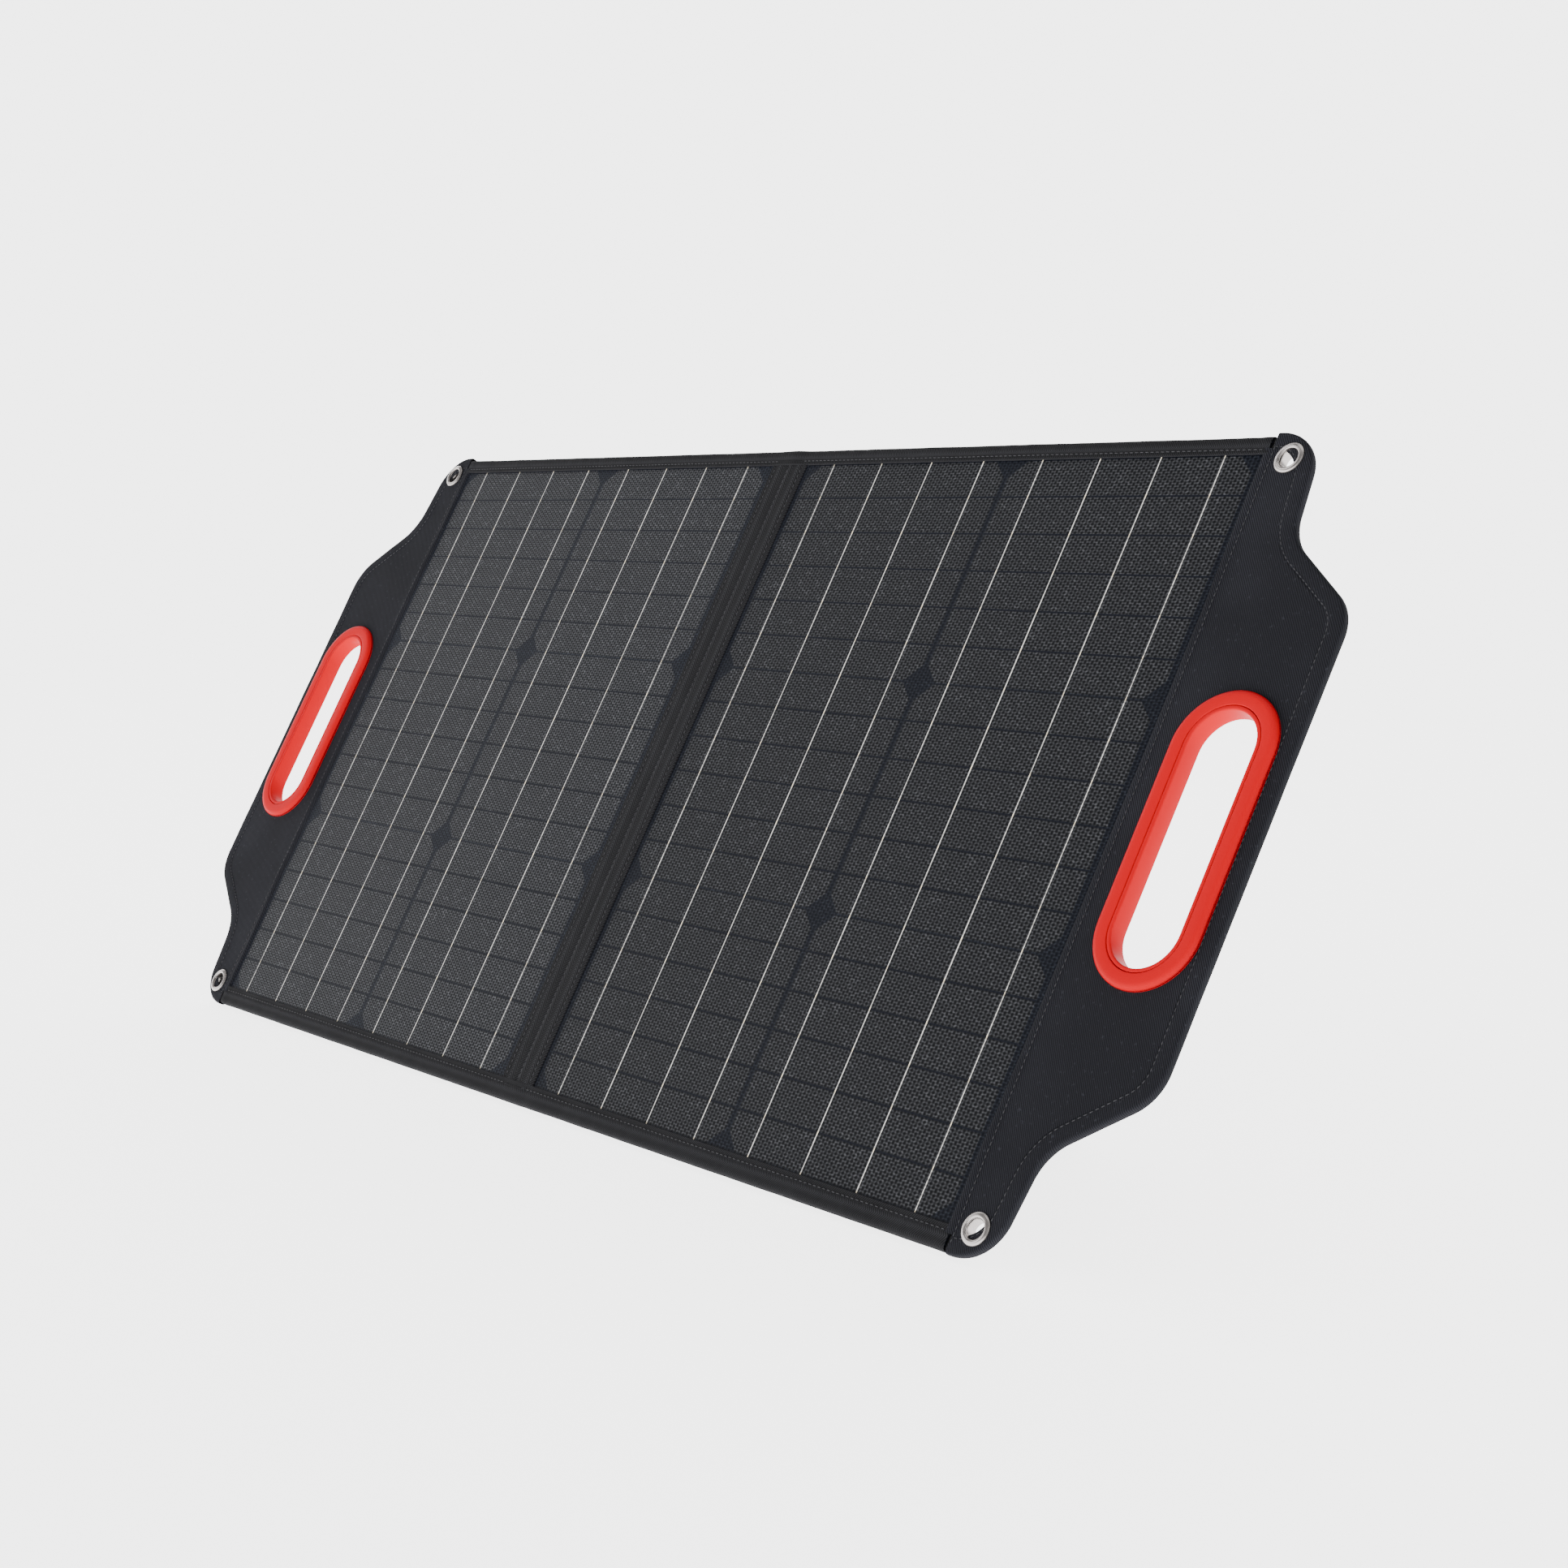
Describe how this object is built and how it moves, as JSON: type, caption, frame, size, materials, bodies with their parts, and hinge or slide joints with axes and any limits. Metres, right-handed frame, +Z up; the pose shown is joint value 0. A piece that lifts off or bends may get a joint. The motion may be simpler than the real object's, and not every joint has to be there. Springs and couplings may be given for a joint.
{
  "type": "folding solar panel case",
  "caption": "Folding cloth solar panel that opens like a book, with moulded grips in its side flaps, kickstands, corner eyelets, an output box and a zipped pocket.",
  "frame": {"origin": "on the surface it stands on, under the middle of its bounding box", "axes": "+Z up, +X across the two panels, front facing -Y; the panels lean back 30 degrees"},
  "size_m": [0.84, 0.2123, 0.3622],
  "materials": {
    "film": "woven look, satin",
    "solar_cell": "dark blue-black",
    "tinned_ribbon": "tinned",
    "backsheet": "matt",
    "stiff_board": "matt",
    "woven_tape": "herringbone weave",
    "case_cloth": "fine twill",
    "handle_plastic": "satin moulded",
    "nickel": "bright nickel",
    "box_plastic": "fine texture",
    "steel": "bright",
    "circuit": "solder mask",
    "lens": "clear",
    "soft_rubber": "soft",
    "zip_plastic": "moulded"
  },
  "bodies": {
    "left_panel": {"charging_sockets": "steel", "circuit_board": "circuit", "left_backsheet": "backsheet", "left_bottom_binding": "woven_tape", "left_busbar_ribbons": "tinned_ribbon", "left_film": "film", "left_rear_cover": "case_cloth", "left_solar_cells": "solar_cell", "left_spine_tape": "woven_tape", "left_stand_hinge_tape": "woven_tape", "left_stand_strap": "woven_tape", "left_support_board": "stiff_board", "left_top_binding": "woven_tape", "output_box_base": "box_plastic", "output_box_lid": "box_plastic", "output_box_screws": "steel", "power_jack": "box_plastic", "status_light_lens": "lens"},
    "right_panel": {"accessory_pocket": "case_cloth", "right_backsheet": "backsheet", "right_bottom_binding": "woven_tape", "right_busbar_ribbons": "tinned_ribbon", "right_film": "film", "right_rear_cover": "case_cloth", "right_solar_cells": "solar_cell", "right_spine_tape": "woven_tape", "right_stand_hinge_tape": "woven_tape", "right_stand_strap": "woven_tape", "right_support_board": "stiff_board", "right_top_binding": "woven_tape", "zip_tape": "woven_tape", "zip_teeth": "zip_plastic"},
    "left_flap": {"left_flap_edge_tape": "woven_tape", "left_flap_front_cloth": "case_cloth", "left_flap_rear_cloth": "case_cloth", "left_flap_stiffener": "stiff_board", "left_grommet_washers": "nickel", "left_grommets": "nickel", "left_handle_front_ring": "handle_plastic", "left_handle_rear_ring": "handle_plastic"},
    "right_flap": {"right_flap_edge_tape": "woven_tape", "right_flap_front_cloth": "case_cloth", "right_flap_rear_cloth": "case_cloth", "right_flap_stiffener": "stiff_board", "right_grommet_washers": "nickel", "right_grommets": "nickel", "right_handle_front_ring": "handle_plastic", "right_handle_rear_ring": "handle_plastic"},
    "left_stand": {"left_stand_board": "stiff_board", "left_stand_edge_tape": "woven_tape", "left_stand_front_cloth": "case_cloth", "left_stand_rear_cloth": "case_cloth"},
    "right_stand": {"right_stand_board": "stiff_board", "right_stand_edge_tape": "woven_tape", "right_stand_front_cloth": "case_cloth", "right_stand_rear_cloth": "case_cloth"},
    "dust_cover": {"dust_cover": "soft_rubber"},
    "zip_slider": {"zip_slider": "steel", "zip_pull_pin": "steel"},
    "zip_pull": {"zip_pull_tab": "soft_rubber"}
  },
  "joints": [
    {"name": "panel_fold", "type": "hinge", "parent": "left_panel", "child": "right_panel", "pos_m": [0, -0.00543, 0.18471], "axis": [0, -0.5, -0.866], "range_deg": [0, 180]},
    {"name": "left_flap_seam", "type": "hinge", "parent": "left_panel", "child": "left_flap", "pos_m": [-0.341, -0.00014, 0.18166], "axis": [0, -0.5, -0.866], "range_deg": [-30, 35], "stiffness_Nm_per_rad": 0.8},
    {"name": "right_flap_seam", "type": "hinge", "parent": "right_panel", "child": "right_flap", "pos_m": [0.341, -0.00014, 0.18166], "axis": [0, 0.5, 0.866], "range_deg": [-30, 35], "stiffness_Nm_per_rad": 0.8},
    {"name": "left_stand_hinge", "type": "hinge", "parent": "left_panel", "child": "left_stand", "pos_m": [-0.177, 0.03313, 0.22748], "axis": [1, 0, 0], "range_deg": [-45, 0], "deforming": ["left_stand_strap"]},
    {"name": "right_stand_hinge", "type": "hinge", "parent": "right_panel", "child": "right_stand", "pos_m": [0.177, 0.03313, 0.22748], "axis": [1, 0, 0], "range_deg": [-45, 0], "deforming": ["right_stand_strap"]},
    {"name": "dust_cover_hinge", "type": "hinge", "parent": "left_panel", "child": "dust_cover", "pos_m": [-0.177, 0.06741, 0.26206], "axis": [1, 0, 0], "range_deg": [0, 110]},
    {"name": "zip_slide", "type": "slide", "parent": "right_panel", "child": "zip_slider", "axis": [1, 0, 0], "range_m": [0, 0.18]},
    {"name": "zip_pull_swing", "type": "hinge", "parent": "zip_slider", "child": "zip_pull", "pos_m": [0.087, 0.10238, 0.31484], "axis": [1, 0, 0], "range_deg": [-28, 100]}
  ]
}
